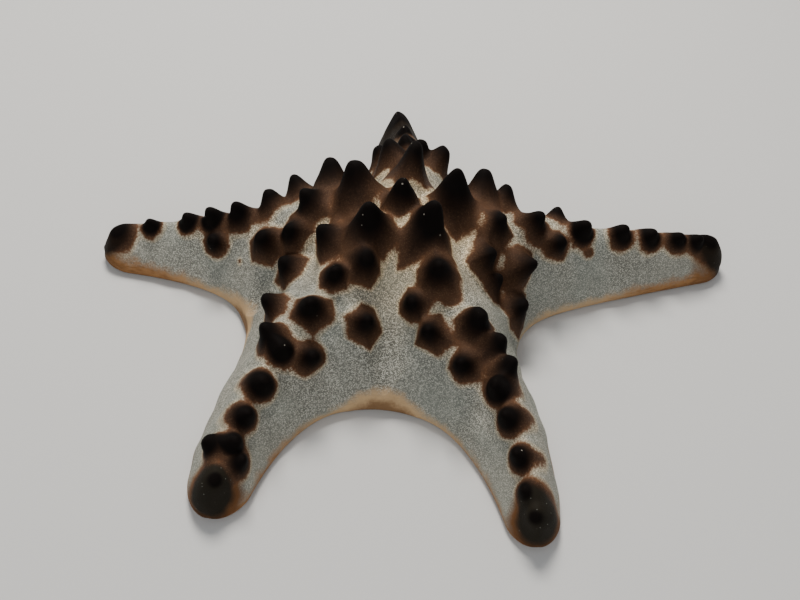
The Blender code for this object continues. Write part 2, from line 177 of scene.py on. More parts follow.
class Arm:
    """An arm's plan and roof, from distances along its axis and to its left."""

    def __init__(self, name):
        self.name = name
        plan = ARMS[name]
        self.heading = radians(plan.heading)
        self.length, self.sweep = plan.length, plan.sweep
        self.tip_radius, self.tip_height = plan.tip_radius, plan.tip_height
        self.out = np.array((cos(self.heading), sin(self.heading)))
        self.left = np.array((-sin(self.heading), cos(self.heading)))
        self.tip_start = self.length - self.tip_radius
        self.sides = {side: self.side_plan(side) for side in (-1, 1)}

    def side_plan(self, side):
        """The plan of one side, from the notch that it shares with the arm on that side."""
        index = ARM_NAMES.index(self.name)
        neighbour = ARM_NAMES[(index + side) % len(ARM_NAMES)]
        half_angle = ((radians(ARMS[neighbour].heading) - self.heading) * side % (2 * pi)) / 2
        distance = ARMS[self.name if side > 0 else neighbour].notch
        start, widest = distance * cos(half_angle), distance * sin(half_angle)
        taper = (BASE_HALF_WIDTH - self.tip_radius) / (self.tip_start - start)
        fillet = (widest - BASE_HALF_WIDTH) / (1 / tan(half_angle) - taper)
        return Side(start, widest, taper, fillet)

    def tip_share(self, along):
        """1 along the arm, falling on a quarter circle to 0 at its very tip."""
        over = np.clip((along - self.tip_start) / self.tip_radius, 0.0, 1.0)
        return np.sqrt(1 - over**2)

    def half_width(self, side, along):
        """From the axis to the margin: a straight taper with a round fillet into the notch."""
        start, widest, taper, fillet = self.sides[side]
        run = np.maximum(along - start, 0.0)
        width = BASE_HALF_WIDTH - taper * run
        width = width + (widest - BASE_HALF_WIDTH) * np.exp(-run / fillet)
        return width * self.tip_share(along)

    def width_at(self, along, across):
        """The half width on the side where each point lies."""
        return np.where(across >= 0, self.half_width(1, along), self.half_width(-1, along))

    def place(self, along, across):
        """Points in plan."""
        share = np.maximum(along - SWEEP_START, 0.0) / (self.length - SWEEP_START)
        slope = 2 * self.sweep * share / (self.length - SWEEP_START)
        square = 1 / np.sqrt(1 + slope**2)
        ahead = along - slope * square * across
        aside = self.sweep * share**2 + square * across
        return ahead[..., None] * self.out + aside[..., None] * self.left

    def crest(self, along):
        """Height of the crest line."""
        soft = np.hypot(along, DOME_ROUNDING) - DOME_ROUNDING
        share = np.minimum(soft / self.tip_start, 1.0)
        dome = (DISC_HEIGHT - ARM_HEIGHT) * np.exp(-((np.abs(along) / DOME_REACH) ** DOME_POWER))
        return self.tip_height + (ARM_HEIGHT - self.tip_height) * (1 - share) + dome

    def roof(self, along, across):
        """Height of this arm's roof alone, run on past its margin."""
        width = np.maximum(self.width_at(along, across), LEAST_WIDTH)
        rise = (self.crest(along) - RIM_HEIGHT) * self.tip_share(along)
        behind = np.minimum(along, 0.0) ** 2 / BACK_SLOPE
        return RIM_HEIGHT + rise * (1 - (np.abs(across) / width) ** CREST_POWER) - behind

    def cut(self, share):
        """Points on the line between the two notches, where the arm leaves the disc."""
        left, right = self.sides[1], self.sides[-1]
        middle = (left.start + right.start) / 2
        end = np.where(share >= 0, left.start, right.start)
        width = np.where(share >= 0, left.widest, right.widest)
        return middle + (end - middle) * np.abs(share), width * share


STAR = {name: Arm(name) for name in ARM_NAMES}


def flow_together(first, second):
    """The higher of two heights, rounded where they are nearly equal."""
    share = np.maximum(VALLEY_BLEND - np.abs(first - second), 0.0) / VALLEY_BLEND
    return np.maximum(first, second) + share * share * VALLEY_BLEND / 4


def surface(arm, along, across):
    """Points of the upper surface without its horns."""
    plan = arm.place(along, across)
    roofs = [arm.roof(along, across)]
    for other in STAR.values():
        if other is not arm:
            roofs.append(other.roof(plan @ other.out, plan @ other.left))
    roofs = np.sort(np.array(roofs), axis=0)[::-1]
    top = roofs[0]
    for lower in roofs[1:]:
        top = flow_together(top, lower)
    from_centre = np.linalg.norm(plan, axis=-1)
    top = top - CROWN_DIP * np.exp(-((from_centre / CROWN_REACH) ** 2))
    return np.concatenate((plan, top[..., None]), axis=-1)


# ---- rows of the surface ------------------------------------------------------------------------
def bezier(control, steps):
    """Points along a cubic curve, its first one left out."""
    share = np.linspace(0, 1, steps + 1)[1:, None]
    first, second, third, last = (np.array(point) for point in control)
    inner = 3 * (1 - share) ** 2 * share * second + 3 * (1 - share) * share**2 * third
    return (1 - share) ** 3 * first + inner + share**3 * last


MARGIN = np.concatenate((bezier(MARGIN_UPPER, MARGIN_STEPS), bezier(MARGIN_LOWER, MARGIN_STEPS)))


def edge_point(arm, side, along):
    """A point of the outline, and the direction out of it: at a notch, away from the centre."""

    def outline(reach):
        return arm.place(reach, side * arm.half_width(side, reach))

    here = outline(np.array(along))
    if along < arm.sides[side].start + WELD:
        return here, here / np.linalg.norm(here)
    course = outline(np.array(along + SLOPE_STEP)) - here
    course = course / np.linalg.norm(course)
    return here, np.array((-course[1], course[0])) * side


def margin_row(arm, side, along, shrink):
    """The margin's section, from the edge of the roof down to the foot."""
    here, out = edge_point(arm, side, along)
    lift = RIM_HEIGHT / 2 * (1 - shrink)
    points = here + MARGIN[:, :1] * shrink * out
    return np.column_stack((points, MARGIN[:, 1] * shrink + lift))


def groove_relief(aside, along):
    """Height of the groove over the floor, with its tube feet and the spines beside it."""

    def row(place, width, height):
        return np.exp(-(((aside - place) / width) ** 2)) * height

    beat = 0.5 + 0.5 * cos(2 * pi * float(along) / FOOT_PITCH)
    groove = np.clip(1 - (aside / GROOVE_HALF_WIDTH) ** 2, 0.0, 1.0) * GROOVE_DEPTH
    return groove - row(*TUBE_FEET) * beat * (groove > 0) + row(*GROOVE_SPINES) * (1 - beat)


def under_row(right_foot, left_foot, axis_point, along, shrink=1.0):
    """A row of the underside, between its two feet: flats, the arm's groove, the mouth."""
    lift = RIM_HEIGHT / 2 * (1 - shrink)
    share = np.linspace(-1, 1, UNDER_COLUMNS + 1)[:, None]
    share = share * np.abs(share) ** UNDER_CROWD
    edge = np.where(share > 0, left_foot, right_foot)
    plan = axis_point + (edge - axis_point) * np.abs(share)
    aside = np.linalg.norm(plan - axis_point, axis=1)
    relief = groove_relief(aside, along) * (1 - np.abs(share[:, 0]) ** EDGE_FALL)
    relief = relief * shrink**END_FALL
    middle = np.clip(1 - (np.linalg.norm(plan, axis=1) / MOUTH_RADIUS) ** 2, 0.0, 1.0)
    return np.column_stack((plan, np.maximum(relief + lift, middle * MOUTH_DEPTH)))


def disc_rows(arm, share_out):
    """The top and the bottom row of the disc, at a share of the way out to the arm's root."""
    share = np.linspace(-1, 1, TOP_COLUMNS + 1)
    along, across = arm.cut(share)
    top = surface(arm, along * share_out, across * share_out)
    right, left = (margin_row(arm, side, float(arm.sides[side].start), 1.0)[-1, :2]
                   for side in (-1, 1))
    reach = arm.cut(np.array(0.0))[0]
    middle = arm.place(reach, np.array(0.0))
    rows = (point * share_out for point in (right, left, middle))
    return top, under_row(*rows, reach * share_out)


def arm_rows(arm, share_out, turn):
    """The top, the margins and the bottom of an arm, at a share of the way to its tip."""
    shrink = cos(turn)

    def reach(share):
        start = arm.cut(share)[0]
        return start + (arm.tip_start - start) * share_out + arm.tip_radius * sin(turn)

    share = np.linspace(-1, 1, TOP_COLUMNS + 1)
    along = reach(share)
    top = surface(arm, along, share * arm.width_at(along, share))
    right, left = (margin_row(arm, side, float(reach(np.array(float(side)))), shrink)
                   for side in (-1, 1))
    along = reach(np.array(0.0))
    middle = arm.place(along, np.array(0.0))
    under = under_row(right[-1, :2], left[-1, :2], middle, along, shrink)
    return top, right, left, under


class Surface:
    """Vertices and faces, gathered row by row."""

    def __init__(self):
        self.rows, self.faces, self.count = [], [], 0
        self.reach = []

    def add(self, row, share_out):
        """Add a row of points, all at one share of the arm's length. Return their indices."""
        self.rows.append(row)
        self.reach.append(np.full(len(row), share_out))
        self.count += len(row)
        return np.arange(self.count - len(row), self.count)

    def bridge(self, near, far, flip=False):
        """Quads between two rows of indices."""
        quads = np.column_stack((near[:-1], far[:-1], far[1:], near[1:]))
        self.faces += (quads[:, ::-1] if flip else quads).tolist()


def arm_stations():
    """Each station: its share of the way to the tip, and its turn round the tip."""
    straight = [(station / STATIONS, 0.0) for station in range(STATIONS + 1)]
    turn = pi / 2 / (TIP_STATIONS + 1)
    return straight + [(1.0, turn * station) for station in range(1, TIP_STATIONS + 1)]


def add_sector(body, arm):
    """One arm and its fifth of the disc."""
    tops, unders = [], []
    for ring in range(DISC_RINGS):
        top, under = disc_rows(arm, ring / DISC_RINGS)
        tops.append(body.add(top, 0.0))
        unders.append(body.add(under, 0.0))
    loops = []
    for share_out, turn in arm_stations():
        top, right, left, under = arm_rows(arm, share_out, turn)
        far = (arm.tip_start * share_out + arm.tip_radius * sin(turn)) / arm.length
        top, right, left, under = (body.add(row, far) for row in (top, right, left, under))
        right_side = np.concatenate((top[:1], right[:-1], under[:1]))
        left_side = np.concatenate((top[-1:], left[:-1], under[-1:]))
        loops.append((top, right_side, left_side, under))
        tops.append(top)
        unders.append(under)
    for near, far in zip(tops, tops[1:]):
        body.bridge(near, far)
    for near, far in zip(unders, unders[1:]):
        body.bridge(near, far, flip=True)
    for near, far in zip(loops, loops[1:]):
        body.bridge(near[1], far[1], flip=True)
        body.bridge(near[2], far[2])
    close_tip(body, arm, *loops[-1])


def close_tip(body, arm, top, right_side, left_side, under):
    """Fan the last loop to one point at the arm's very tip."""
    plan = arm.place(np.array(arm.length), np.array(0.0))
    pole = body.add(np.array([(*plan, POLE_HEIGHT)]), 1.0)[0]
    loop = np.concatenate((top, left_side[1:-1], under[::-1], right_side[1:-1][::-1]))
    for here, after in zip(loop, np.roll(loop, -1)):
        body.faces.append([int(here), int(pole), int(after)])


# ---- horns --------------------------------------------------------------------------------------
class Horn:
    """One horn's place and shape, and the angular halo round it."""

    def __init__(self, tip, axis, tall, radius, knob):
        self.axis = np.array(axis)
        self.tall, self.radius, self.knob = tall, radius, knob
        self.foot = np.array(tip) - self.axis * tall
        outward = self.foot[:2] - DISC_CENTRE[:2]
        outward = np.array((*outward, 0.0)) + np.array((NUDGE, 0.0, 0.0))
        first = outward - self.axis * (outward @ self.axis)
        self.first = first / np.linalg.norm(first)
        self.second = np.cross(self.axis, self.first)

    def share_out(self):
        """0 on the crown, 1 out on the arms."""
        from_centre = np.linalg.norm(self.foot[:2] - DISC_CENTRE[:2])
        return np.clip((from_centre - ROUND_FROM) / (ROUND_TO - ROUND_FROM), 0.0, 1.0)

    def draw(self, draws):
        """Draw what differs from horn to horn."""
        self.power = draws.uniform(*HORN_POWER)
        self.waist = draws.uniform(*HORN_WAIST)
        self.dark = self.radius * draws.uniform(*DARK_REACH) * self.axis[2] ** DARK_LEAN
        self.dark *= 1 + DARK_GAIN * self.share_out()
        self.oval, self.oval_turn = draws.uniform(*HORN_OVAL), draws.uniform(0, pi)
        self.skew = draws.uniform(*HORN_SKEW)
        if self.knob:
            self.power, self.waist, self.oval, self.skew = KNOB_POWER, KNOB_WAIST, 0.0, 0.0
            self.dark *= KNOB_DARK
        corners = draws.randint(*HALO_CORNERS)
        turn = draws.uniform(0, 2 * pi)
        places = [corner + draws.uniform(-CORNER_TURN, CORNER_TURN) for corner in range(corners)]
        self.angles = np.array([turn + 2 * pi * place / corners for place in places])
        share = self.share_out()
        widest = self.radius * (1 - HALO_LOSS * share)
        reaches = np.array([widest * draws.uniform(*HALO_RADIUS) for _ in range(corners)])
        self.roundness = ROUNDNESS * share
        self.swelling = self.tall * MOUND * (1 - MOUND_LOSS * share)
        self.reaches = reaches + (reaches.mean() - reaches) * self.roundness

    def polar(self, points):
        """Distance from the horn's axis, more for points far below its foot, and the angle."""
        offset = points - self.foot
        aside, ahead = offset @ self.first, offset @ self.second
        sunk = np.minimum(offset @ self.axis + HORN_DEPTH * self.radius, 0.0)
        return np.sqrt(aside**2 + ahead**2 + sunk**2), np.arctan2(ahead, aside)

    def halo_reach(self, angle):
        """The halo's border at each angle: straight lines between its corners."""
        angles = np.append(self.angles, self.angles[0] + 2 * pi)
        reaches = np.append(self.reaches, self.reaches[0])
        angle = (angle - angles[0]) % (2 * pi) + angles[0]
        corner = np.clip(np.searchsorted(angles, angle, side="right") - 1, 0, len(self.angles) - 1)
        near, far = reaches[corner], reaches[corner + 1]
        span, here = angles[corner + 1] - angles[corner], angle - angles[corner]
        chord = near * far * np.sin(span) / (near * np.sin(here) + far * np.sin(span - here))
        return chord + ((near + far) / 2 - chord) * self.roundness

    def profile(self, distance, angle):
        """The horn's height at a distance from its axis, from 1 at its tip to 0 at its foot."""
        share = distance / self.radius / self.waist
        share = share * (1 + self.oval * np.cos(2 * (angle - self.oval_turn)))
        share = share * (1 + self.skew * np.cos(angle))
        bell = 1 / (1 + share**self.power)
        end = 1 / (1 + (HORN_FOOT / self.waist) ** self.power)
        return np.clip((bell - end) / (1 - end), 0.0, 1.0)

    def mound(self, distance, angle):
        """The height of the mound that the horn stands on, as wide as its halo."""
        spread = np.clip(distance / (self.halo_reach(angle) * MOUND_REACH), 0.0, 1.0)
        return self.swelling * (1 - spread**2) ** 2


def horn_at(vertex):
    """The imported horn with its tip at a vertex, or None.

    A tip's neighbours are its horn's last ring, which lies in one plane, across the axis.
    """
    near = np.array([edge.other_vert(vertex).co for edge in vertex.link_edges])
    tip = np.array(vertex.co)
    lengths = np.linalg.norm(near - tip, axis=1)
    ring = near[lengths > lengths.max() - 2 * WELD]
    if len(ring) < LEAST_RING:
        return None
    middle = ring.mean(axis=0)
    axis = np.linalg.svd(ring - middle)[2][2]
    depth = (tip - middle) @ axis
    if np.abs((ring - middle) @ axis).max() > WELD or abs(depth) < LEAST_DEPTH:
        return None
    tall = abs(depth) / TOP_RING[1]
    radius = (lengths.max() ** 2 - depth**2) ** 0.5 / TOP_RING[0]
    suits = abs(radius - HORN_BASE[0] - HORN_BASE[1] * tall) < BASE_MATCH
    if not suits and len(ring) < SURE_RING:
        return None
    return Horn(tip, axis * np.sign(depth), tall, radius, knob=not suits)


def find_horns():
    """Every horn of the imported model, in an order that doesn't depend on the packing."""
    horns = []
    for name in ARM_NAMES + ("disc",):
        solid = bmesh.new()
        solid.from_mesh(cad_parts[name].data)
        bmesh.ops.remove_doubles(solid, verts=solid.verts, dist=WELD)
        horns += [horn for horn in map(horn_at, solid.verts) if horn]
        solid.free()
    horns.sort(key=lambda horn: tuple(horn.foot))
    draws = random.Random(SEED)
    for horn in horns:
        horn.draw(draws)
    feet = np.array([horn.foot for horn in horns])
    mounds = np.array([horn.mound(*horn.polar(feet)) for horn in horns])
    for index, horn in enumerate(horns):
        horn.lifted = mounds[:, index].sum() - mounds[index, index]
    return horns


HORNS = find_horns()
print(len(HORNS), "horns")


def smooth_least(values, reach):
    """The least of several fields, rounded where two are nearly equal."""
    least = values.min(axis=0)
    return least - reach * np.log(np.exp((least - values) / reach).sum(axis=0))


def raise_horns(points, normals):
    """Points moved out by the horns and their mounds, and the fields that the colours follow.

    halo: distance outside the nearest halo. fade: 0 at a horn's black part, 1 at its halo's
    border.
    """
    heights, mounds, halos, fades = [], [], [], []
    for horn in HORNS:
        distance, angle = horn.polar(points)
        border = horn.halo_reach(angle)
        tall = horn.tall - horn.swelling - horn.lifted
        heights.append(tall * horn.profile(distance, angle))
        mounds.append(horn.mound(distance, angle))
        halos.append(distance - border)
        fades.append((distance - horn.dark) / (border - horn.dark))
    for name, along, across, radius in BLOTS:
        middle = surface(STAR[name], np.array(along), np.array(across)) + DISC_CENTRE
        halos.append(np.linalg.norm(points - middle, axis=1) - radius)
    may_stand = normals[:, 2] > LEAST_UPRIGHT
    axes = np.array([horn.axis for horn in HORNS])
    raised = points + (np.array(mounds) * may_stand).T @ axes
    weights = (np.array(heights) * may_stand) ** BLEND_POWER
    total = weights.sum(axis=0)
    lean = (weights.T @ axes) / np.maximum(total, TINY)[:, None]
    raised = raised + lean * (total ** (1 / BLEND_POWER))[:, None]
    halo = np.where(may_stand, smooth_least(np.array(halos), HALO_MERGE), NO_HALO) / MM
    return raised, halo, np.where(may_stand, np.array(fades).min(axis=0), 1.0)


def colour_fields(plan, heights, normals):
    """The rim and the arms' end caps, from the points of the surface without its horns.

    rim: height over the orange rim. cap: distance from the middle of the nearest arm's cap, in
    cap radii. olive: how olive that cap is.
    """
    orange = np.full(len(plan), RIM_LEAST)
    cap = np.full(len(plan), np.inf)
    olive = np.zeros(len(plan))
    for name, arm in STAR.items():
        from_end, radius, tint, rim = ENDS[name]
        reach = np.clip(plan @ arm.out / arm.length, 0.0, 1.0) ** RIM_WIDENS
        near = np.abs(plan @ arm.left) < BASE_HALF_WIDTH * 2
        orange = np.maximum(orange, (RIM_LEAST + (rim - RIM_LEAST) * reach) * near)
        middle = surface(arm, np.array(arm.length - from_end), np.array(0.0))
        aside = np.linalg.norm(plan - middle[:2], axis=1)
        share = np.hypot(aside, CAP_FALL * (heights - middle[2])) / radius
        olive = np.where(share < cap, tint, olive)
        cap = np.minimum(cap, share)
        if name in NOTCH_RIMS:
            notch = arm.place(np.array(arm.sides[1].start), np.array(arm.sides[1].widest))
            spread = np.linalg.norm(plan - notch, axis=1) / NOTCH_SPREAD
            orange = orange + NOTCH_RIMS[name] * np.exp(-(spread**2))
    cap = np.minimum(cap, FAR_CAP) + UNDER_CAP * np.clip(-normals[:, 2], 0.0, 1.0)
    return (heights - orange) / MM, cap, olive


def swell(points, normals):
    """Points moved along their normals by soft noise."""
    heights = [noise.noise(Vector(point) / SWELL_SIZE + SWELL_OFFSET) for point in points.tolist()]
    return points + normals * (np.array(heights) * SWELL_HEIGHT)[:, None]


def seams(points):
    """Height of the seams between the underside's plates, at each point."""
    heights = []
    for point in (points / PLATE_SIZE).tolist():
        near, second = noise.voronoi(Vector(point))[0][:2]
        heights.append(max(0.0, 1 - (second - near) / SEAM_WIDTH) * PLATE_SEAM)
    return np.array(heights)


# ---- the skin -----------------------------------------------------------------------------------
def vectors(collection, name, count):
    """A numpy copy of a mesh's vectors."""
    values = np.empty(count * 3, np.float32)
    collection.foreach_get(name, values)
    return values.reshape(-1, 3).astype(float)


def write_attribute(mesh, name, values):
    """Write one number for each vertex."""
    layer = mesh.attributes.new(name, "FLOAT", "POINT")
    layer.data.foreach_set("value", values.astype(np.float32))


def make_body():
    """The body's mesh without its horns: one closed surface."""
    body = Surface()
    for arm in STAR.values():
        add_sector(body, arm)
    mesh = bpy.data.meshes.new("sea_star_skin")
    mesh.from_pydata((np.concatenate(body.rows) + DISC_CENTRE).tolist(), [], body.faces)
    write_attribute(mesh, "reach", np.concatenate(body.reach))
    welded = bmesh.new()
    welded.from_mesh(mesh)
    bmesh.ops.remove_doubles(welded, verts=welded.verts, dist=WELD)
    bmesh.ops.recalc_face_normals(welded, faces=welded.faces)
    welded.to_mesh(mesh)
    welded.free()
    mesh.update()
    return mesh


def write_fields(mesh, points, normals, halo, fade):
    """Write the fields that the material follows.

    steep: 0 on the level, 1 upright, 2 below. crown: distance from the disc's middle. deep: how
    far up into the underside's hollows.
    """
    plan = points[:, :2] - DISC_CENTRE[:2]
    rim, cap, olive = colour_fields(plan, points[:, 2], normals)
    fields = {
        "rim": rim,
        "cap": cap,
        "olive": olive,
        "steep": 1 - normals[:, 2],
        "crown": np.linalg.norm(plan, axis=1),
        "deep": np.where(normals[:, 2] < 0, points[:, 2] / GROOVE_DEPTH, 0.0),
        "halo": halo,
        "fade": fade,
    }
    for name, values in fields.items():
        write_attribute(mesh, name, values)


def make_skin():
    """The whole animal as one closed surface."""
    mesh = make_body()
    points = vectors(mesh.vertices, "co", len(mesh.vertices))
    normals = vectors(mesh.vertex_normals, "vector", len(mesh.vertices))
    raised, halo, fade = raise_horns(points, normals)
    write_fields(mesh, points, normals, halo, fade)
    on_top = np.clip(normals[:, 2] * SWELL_EDGE, 0.0, 1.0)[:, None]
    raised = swell(raised, normals * on_top)
    under = normals[:, 2] < PLATES_BELOW
    raised[under, 2] += seams(raised[under])
    raised[:, 2] = np.maximum(raised[:, 2], 0.0)
    mesh.vertices.foreach_set("co", raised.astype(np.float32).ravel())
    mesh.shade_smooth()
    mesh.update()
    skin = bpy.data.objects.new("sea_star_skin", mesh)
    bpy.context.scene.collection.objects.link(skin)
    return skin


# ---- materials ----------------------------------------------------------------------------------
SKIN_PALE = (0.70, 0.675, 0.57)
SKIN_DARK = (0.125, 0.121, 0.100)
# SKIN_EVEN and SKIN_COOL: evener and cooler skin tones, also used as painted shade on steep skin
SKIN_EVEN = (0.295, 0.289, 0.243)
SKIN_COOL = (0.24, 0.27, 0.240)
SKIN_LIGHT_TINT = (1.80, 1.48, 1.12)  # painted light: multiplies the skin, paler and warmer, by the halos and on the crown
HALO_EDGE = (0.185, 0.078, 0.034)
HALO_OUTER = (0.076, 0.0365, 0.0190)
HALO_INNER = (0.013, 0.0063, 0.0036)
HALO_GRAIN = (0.22, 0.13, 0.07)
HORN_BLACK = (0.0026, 0.0012, 0.0008)
# painted highlight: pale dots on the horns
HORN_HIGHLIGHT = (0.30, 0.27, 0.22)
RIM_TAN = (0.55, 0.37, 0.20)
RIM_ORANGE = (0.33, 0.165, 0.066)
RIM_BROWN = (0.13, 0.055, 0.020)
CAP_BROWN = (0.0125, 0.0065, 0.0034)
CAP_OLIVE = (0.0150, 0.0120, 0.0078)
# painted highlight: pale dots on the olive caps
CAP_HIGHLIGHT = (0.20, 0.20, 0.17)
UNDER_PALE = (0.50, 0.41, 0.29)
UNDER_DEEP = (0.16, 0.075, 0.040)

MIX_INPUTS, MIX_OUTPUT = (0, 6, 7), 2  # a colour mix's sockets: share, first, second; result

GRANULE_SIZE = 0.00036
GAP_SHADE = 0.7  # how dark the gaps between granules are
HORN_HIGHLIGHT_DOTS = (0.0020, 0.04)  # painted highlights: size of the cells that dots may lie in, and the share that have one
# painted highlights on the olive caps: cell size and share
CAP_HIGHLIGHT_DOTS = (0.0010, 0.10)
BROAD_NOISE = (0.022, 1.0)  # size and detail
BLOTCH_NOISE = (0.006, 3.0)
SPECK_NOISE = (0.0010, 3.0)
STREAK_NOISE = (0.0045, 3.0)
STREAK_SQUASH = (1.0, 1.0, 5.0)  # makes the rim's streaks lie level
NOISE_MIDDLE = 0.5
# How far the noises move each border.
RIM_BLOTCH, RIM_SPECK = 6.0, 3.0
HALO_BLOTCH, HALO_SPECK = 2.2, 1.6
CAP_BLOTCH = 0.3
FADE_SPECK = 0.4
SPECULAR = 0.08
BUMP_DEPTH, BUMP_STRENGTH = 0.0002, 0.5

# Ramps: the values where each starts and ends, and what it gives there, if that isn't 0 and 1.
GAP_RAMP = (0.20, 0.75)
DOT_RAMP = (0.22, 0.12)
BRIGHT_RAMP = (-0.25, 1.0)
EVEN_BY_REACH = (0.4, 0.9, 0.0, 0.35)
# painted shade: steep skin turns evener and darker
EVEN_SHADE_BY_SLOPE = (0.25, 0.85, 0.0, 0.35)
COOL_BY_NOISE = (0.40, 0.75, 0.0, 0.30)
# painted shade: steep skin turns cooler
COOL_SHADE_BY_SLOPE = (0.45, 0.95, 0.0, 0.40)
# painted light: paler, warmer skin on the crown and just outside the halos
LIGHT_BY_CROWN = (0.052, 0.022, 0.0, 0.55)
LIGHT_BY_HALO = (1.6, 0.4, 0.0, 0.45)
TAN_TO_ORANGE = (0.25, 0.75)
STREAK_RAMP = (0.48, 0.66)
STREAK_BY_REACH = (0.3, 0.8, 0.10, 0.50)
RIM_BORDER = (3.4, -1.8)
RIM_SHADE = (-1.5, -6.5, 0.0, 0.75)
PLATE_RAMP = (-0.6, 1.2, 0.35, 1.0)
GROOVE_RAMP = (0.10, 0.75, 0.0, 0.9)
UNDER_BORDER = (1.55, 1.95)
HALO_BORDER = (0.55, -0.55)
HALO_RAMP = (0.05, 1.05)
HALO_EDGE_RAMP = (-1.1, 0.3, 0.0, 0.80)
GRAIN_BY_BRIGHT = (0.35, 1.0, 0.0, 0.40)
GRAIN_BY_FADE = (0.1, 0.8)
CAP_BORDER = (1.10, 0.75)
CAP_RING = (1.60, 1.05)
RING_BY_OLIVE = (0.0, 1.0, 0.6, 1.0)
BLACK_BORDER = (0.24, -0.20)
ROUGH_RAMP = (0.0, 0.8, 0.80, 0.62)
BUMP_BY_FADE = (0.0, 1.0, 0.15, 1.0)


class Nodes:
    """Short names for making and linking a material's nodes."""

    def __init__(self, name):
        self.material = bpy.data.materials.new(name)
        self.material.use_nodes = True
        self.tree = self.material.node_tree
        self.shader = self.tree.nodes["Principled BSDF"]

    def add(self, kind, inputs=None, **settings):
        """A new node with its inputs and settings."""
        node = self.tree.nodes.new(kind)
        for key, value in settings.items():
            setattr(node, key, value)
        for key, value in (inputs or {}).items():
            self.feed(node.inputs[key], value)
        return node

    def feed(self, socket, value):
        """Link an output to a socket, or set the socket to a value."""
        if isinstance(value, bpy.types.NodeSocket):
            self.tree.links.new(value, socket)
        elif isinstance(value, tuple) and len(value) == 3 and socket.type == "RGBA":
            socket.default_value = (*value, 1.0)
        else:
            socket.default_value = value

    def attribute(self, name):
        """A number that the mesh holds for each vertex."""
        return self.add("ShaderNodeAttribute", attribute_name=name).outputs["Fac"]

    def math(self, operation, first, second):
        """What an operation makes of two numbers."""
        node = self.add("ShaderNodeMath", {0: first, 1: second}, operation=operation)
        return node.outputs[0]

    def ramp(self, value, low, high, start=0.0, end=1.0):
        """A smooth step of a value from low to high."""
        inputs = {"Value": value, "From Min": low, "From Max": high,
                  "To Min": start, "To Max": end}
        node = self.add("ShaderNodeMapRange", inputs, interpolation_type="SMOOTHSTEP")
        return node.outputs["Result"]

    def mix(self, share, first, second):
        """The first colour, with a share of the second."""
        node = self.add("ShaderNodeMix", data_type="RGBA")
        for socket, value in zip(MIX_INPUTS, (share, first, second)):
            self.feed(node.inputs[socket], value)
        return node.outputs[MIX_OUTPUT]

    def noise(self, place, size, detail):
        """Soft noise, 0 to 1."""
        inputs = {"Vector": place, "Scale": 1 / size, "Detail": detail}
        return self.add("ShaderNodeTexNoise", inputs).outputs["Fac"]

    def moved(self, value, *noises):
        """A value moved by noises, each times its amount."""
        for wave, amount in noises:
            value = self.math("ADD", value, self.math("MULTIPLY", wave, amount))
        return value

    def cells(self, place, size, channel):
        """Round cells: how far each point is from its cell's middle, and a number for the cell."""
        node = self.add("ShaderNodeTexVoronoi", {"Vector": place, "Scale": 1 / size})
        split = self.add("ShaderNodeSeparateColor", {"Color": node.outputs["Color"]})
        return node.outputs["Distance"], split.outputs[channel]


def grains(nodes, place):
    """The skin's granules: how bright each is, with dark gaps between them."""
    distance, tone = nodes.cells(place, GRANULE_SIZE, "Red")
    gap = nodes.ramp(distance, *GAP_RAMP)
    return nodes.math("SUBTRACT", tone, nodes.math("MULTIPLY", gap, GAP_SHADE))


def highlight_specks(nodes, place, size, share):
    """1 in small scattered dots, which lie in a share of the cells: painted highlights."""
    distance, tone = nodes.cells(place, size, "Green")
    chosen = nodes.math("LESS_THAN", tone, share)
    return nodes.math("MULTIPLY", chosen, nodes.ramp(distance, *DOT_RAMP))


def granular_skin(nodes, place, bright):
    """Granular grey-beige. Where steep, painted shade makes it evener, darker and cooler; on the
    crown and by the halos, painted light makes it paler and warmer.
    """
    reach, steep = nodes.attribute("reach"), nodes.attribute("steep")
    crown, halo = nodes.attribute("crown"), nodes.attribute("halo")
    broad = nodes.noise(place, *BROAD_NOISE)
    colour = nodes.mix(nodes.ramp(bright, *BRIGHT_RAMP), SKIN_DARK, SKIN_PALE)
    # painted shade: the slope terms make steep skin evener, darker and cooler
    even = nodes.math("ADD", nodes.ramp(reach, *EVEN_BY_REACH), nodes.ramp(steep, *EVEN_SHADE_BY_SLOPE))
    colour = nodes.mix(even, colour, SKIN_EVEN)
    cool_and_shade = nodes.math("ADD", nodes.ramp(broad, *COOL_BY_NOISE), nodes.ramp(steep, *COOL_SHADE_BY_SLOPE))
    colour = nodes.mix(cool_and_shade, colour, SKIN_COOL)
    # painted light: paler and warmer on the crown, where the top faces the light, and by the
    # halos, against the horns' shade
    lit_share = nodes.math("ADD", nodes.ramp(crown, *LIGHT_BY_CROWN), nodes.ramp(halo, *LIGHT_BY_HALO))
    lit_colour = nodes.add("ShaderNodeVectorMath", {0: colour, 1: SKIN_LIGHT_TINT}, operation="MULTIPLY")
    return nodes.mix(lit_share, colour, lit_colour.outputs[0])


def orange_rim(nodes, place, colour, blotch, speck):
    """A colour with the rim over it: tan by the disc, orange and streaked towards the tips."""
    reach = nodes.attribute("reach")
    rim = nodes.moved(nodes.attribute("rim"), (blotch, RIM_BLOTCH), (speck, RIM_SPECK))
    level = nodes.add("ShaderNodeMapping", {"Vector": place, "Scale": STREAK_SQUASH})
    streaks = nodes.noise(level.outputs["Vector"], *STREAK_NOISE)
    strength = nodes.ramp(reach, *STREAK_BY_REACH)
    orange = nodes.mix(nodes.ramp(reach, *TAN_TO_ORANGE), RIM_TAN, RIM_ORANGE)
    orange = nodes.mix(nodes.ramp(streaks, *STREAK_RAMP, 0.0, strength), orange, RIM_BROWN)
    colour = nodes.mix(nodes.ramp(rim, *RIM_BORDER), colour, orange)
    return nodes.mix(nodes.ramp(rim, *RIM_SHADE), colour, RIM_BROWN)


